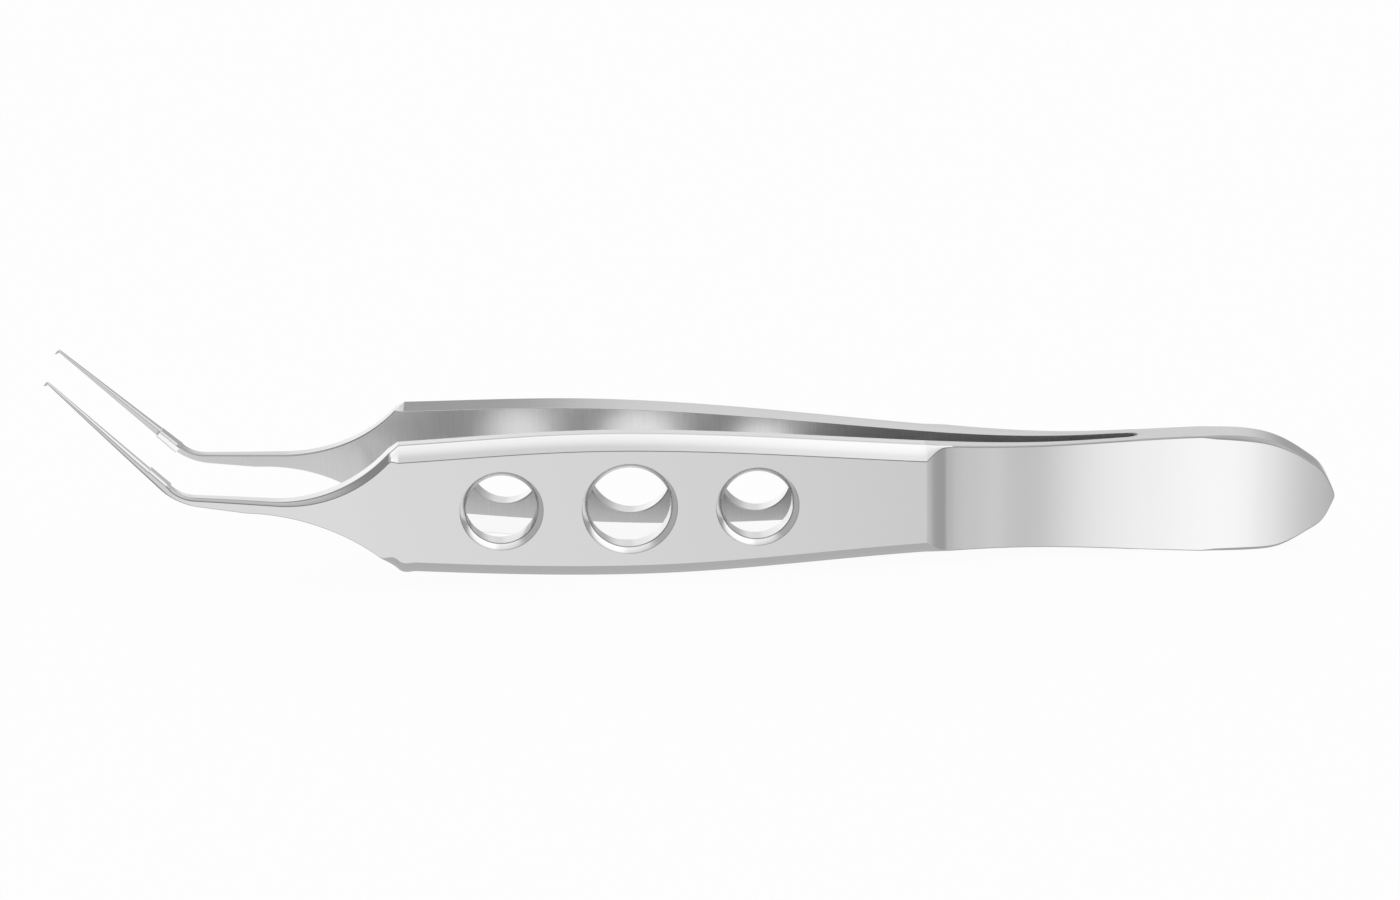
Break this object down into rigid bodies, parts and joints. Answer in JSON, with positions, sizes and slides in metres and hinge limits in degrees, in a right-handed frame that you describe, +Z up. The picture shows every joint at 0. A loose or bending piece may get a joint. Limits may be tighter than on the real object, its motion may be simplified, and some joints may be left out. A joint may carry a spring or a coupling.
{
  "type": "capsulorhexis forceps",
  "caption": "Spring forceps with flat perforated handles, slim angled shafts and tiny hooked tips for tearing the lens capsule in eye surgery.",
  "frame": {"origin": "centre of the bounding box's bottom face: the forceps stands on the lower edges of its handles and butt", "axes": "+X along the instrument towards the butt, +Y across from the near arm to the far arm, +Z up across the width of the handle"},
  "size_m": [0.1042, 0.013, 0.0174],
  "materials": {
    "satin_steel": "satin stainless steel, brushed on the inner faces, with polished bevels"
  },
  "bodies": {
    "butt": {"butt": "satin_steel"},
    "near_arm": {"near_arm": "satin_steel"},
    "far_arm": {"far_arm": "satin_steel"}
  },
  "joints": [
    {"name": "near_arm_flex", "type": "hinge", "parent": "butt", "child": "near_arm", "pos_m": [0.03622, -0.00082, 0.005], "axis": [0, 0, -1], "range_deg": [0, 2.42], "stiffness_Nm_per_rad": 0.84},
    {"name": "far_arm_flex", "type": "hinge", "parent": "butt", "child": "far_arm", "pos_m": [0.03622, 0.00082, 0.005], "axis": [0, 0, 1], "range_deg": [0, 2.42], "stiffness_Nm_per_rad": 0.84}
  ],
  "couplings": [
    {"joint": "far_arm_flex", "follows": "near_arm_flex", "ratio": 1}
  ]
}
